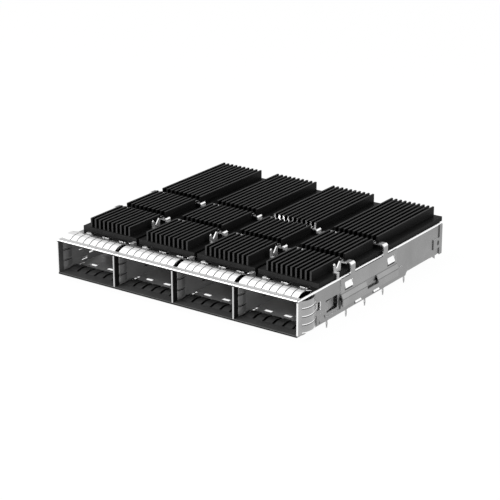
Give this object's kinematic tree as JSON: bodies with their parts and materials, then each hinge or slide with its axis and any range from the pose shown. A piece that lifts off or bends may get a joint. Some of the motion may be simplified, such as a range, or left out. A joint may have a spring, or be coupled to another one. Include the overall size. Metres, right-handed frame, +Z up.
{
  "type": "ganged transceiver cage with riding heat sinks",
  "caption": "Folded sheet-metal cage with side by side transceiver ports, spring finger strips, press-fit tails and finned riding heat sinks held by one stamped clip.",
  "frame": {"origin": "middle of the cage's front edge, on the plane of the host board under the floor", "axes": "+X across the ports to the right seen from the front, +Y from the port mouths to the back, +Z up from the board"},
  "size_m": [0.0782, 0.0715, 0.0151],
  "materials": {
    "cage_sheet": "satin nickel plated sheet",
    "spring_strip": "bright plated spring strip",
    "clip_steel": "bright stamped spring steel",
    "heat_sink_black": "black anodised extrusion"
  },
  "bodies": {
    "cage": {"back_panel": "cage_sheet", "bottom_spring_strip_1": "spring_strip", "bottom_spring_strip_2": "spring_strip", "bottom_spring_strip_3": "spring_strip", "bottom_spring_strip_4": "spring_strip", "cage_cover": "cage_sheet", "divider_1": "cage_sheet", "divider_2": "cage_sheet", "divider_3": "cage_sheet", "divider_spring_1": "spring_strip", "divider_spring_2": "spring_strip", "divider_spring_3": "spring_strip", "floor_pan": "cage_sheet", "heat_sink_clip": "clip_steel", "side_spring_strip_left": "spring_strip", "side_spring_strip_right": "spring_strip", "top_spring_strip_1": "spring_strip", "top_spring_strip_2": "spring_strip", "top_spring_strip_3": "spring_strip", "top_spring_strip_4": "spring_strip"},
    "heat_sink_1_body": {"heat_sink_1": "heat_sink_black"},
    "heat_sink_2_body": {"heat_sink_2": "heat_sink_black"},
    "heat_sink_3_body": {"heat_sink_3": "heat_sink_black"},
    "heat_sink_4_body": {"heat_sink_4": "heat_sink_black"}
  },
  "joints": [
    {"name": "heat_sink_1_lift", "type": "slide", "parent": "cage", "child": "heat_sink_1_body", "axis": [0, 0, 1], "range_m": [0, 0.0004], "stiffness_N_per_m": 2000, "springref_m": -0.004, "deforming": ["heat_sink_clip"]},
    {"name": "heat_sink_2_lift", "type": "slide", "parent": "cage", "child": "heat_sink_2_body", "axis": [0, 0, 1], "range_m": [0, 0.0004], "stiffness_N_per_m": 2000, "springref_m": -0.004, "deforming": ["heat_sink_clip"]},
    {"name": "heat_sink_3_lift", "type": "slide", "parent": "cage", "child": "heat_sink_3_body", "axis": [0, 0, 1], "range_m": [0, 0.0004], "stiffness_N_per_m": 2000, "springref_m": -0.004, "deforming": ["heat_sink_clip"]},
    {"name": "heat_sink_4_lift", "type": "slide", "parent": "cage", "child": "heat_sink_4_body", "axis": [0, 0, 1], "range_m": [0, 0.0004], "stiffness_N_per_m": 2000, "springref_m": -0.004, "deforming": ["heat_sink_clip"]}
  ]
}
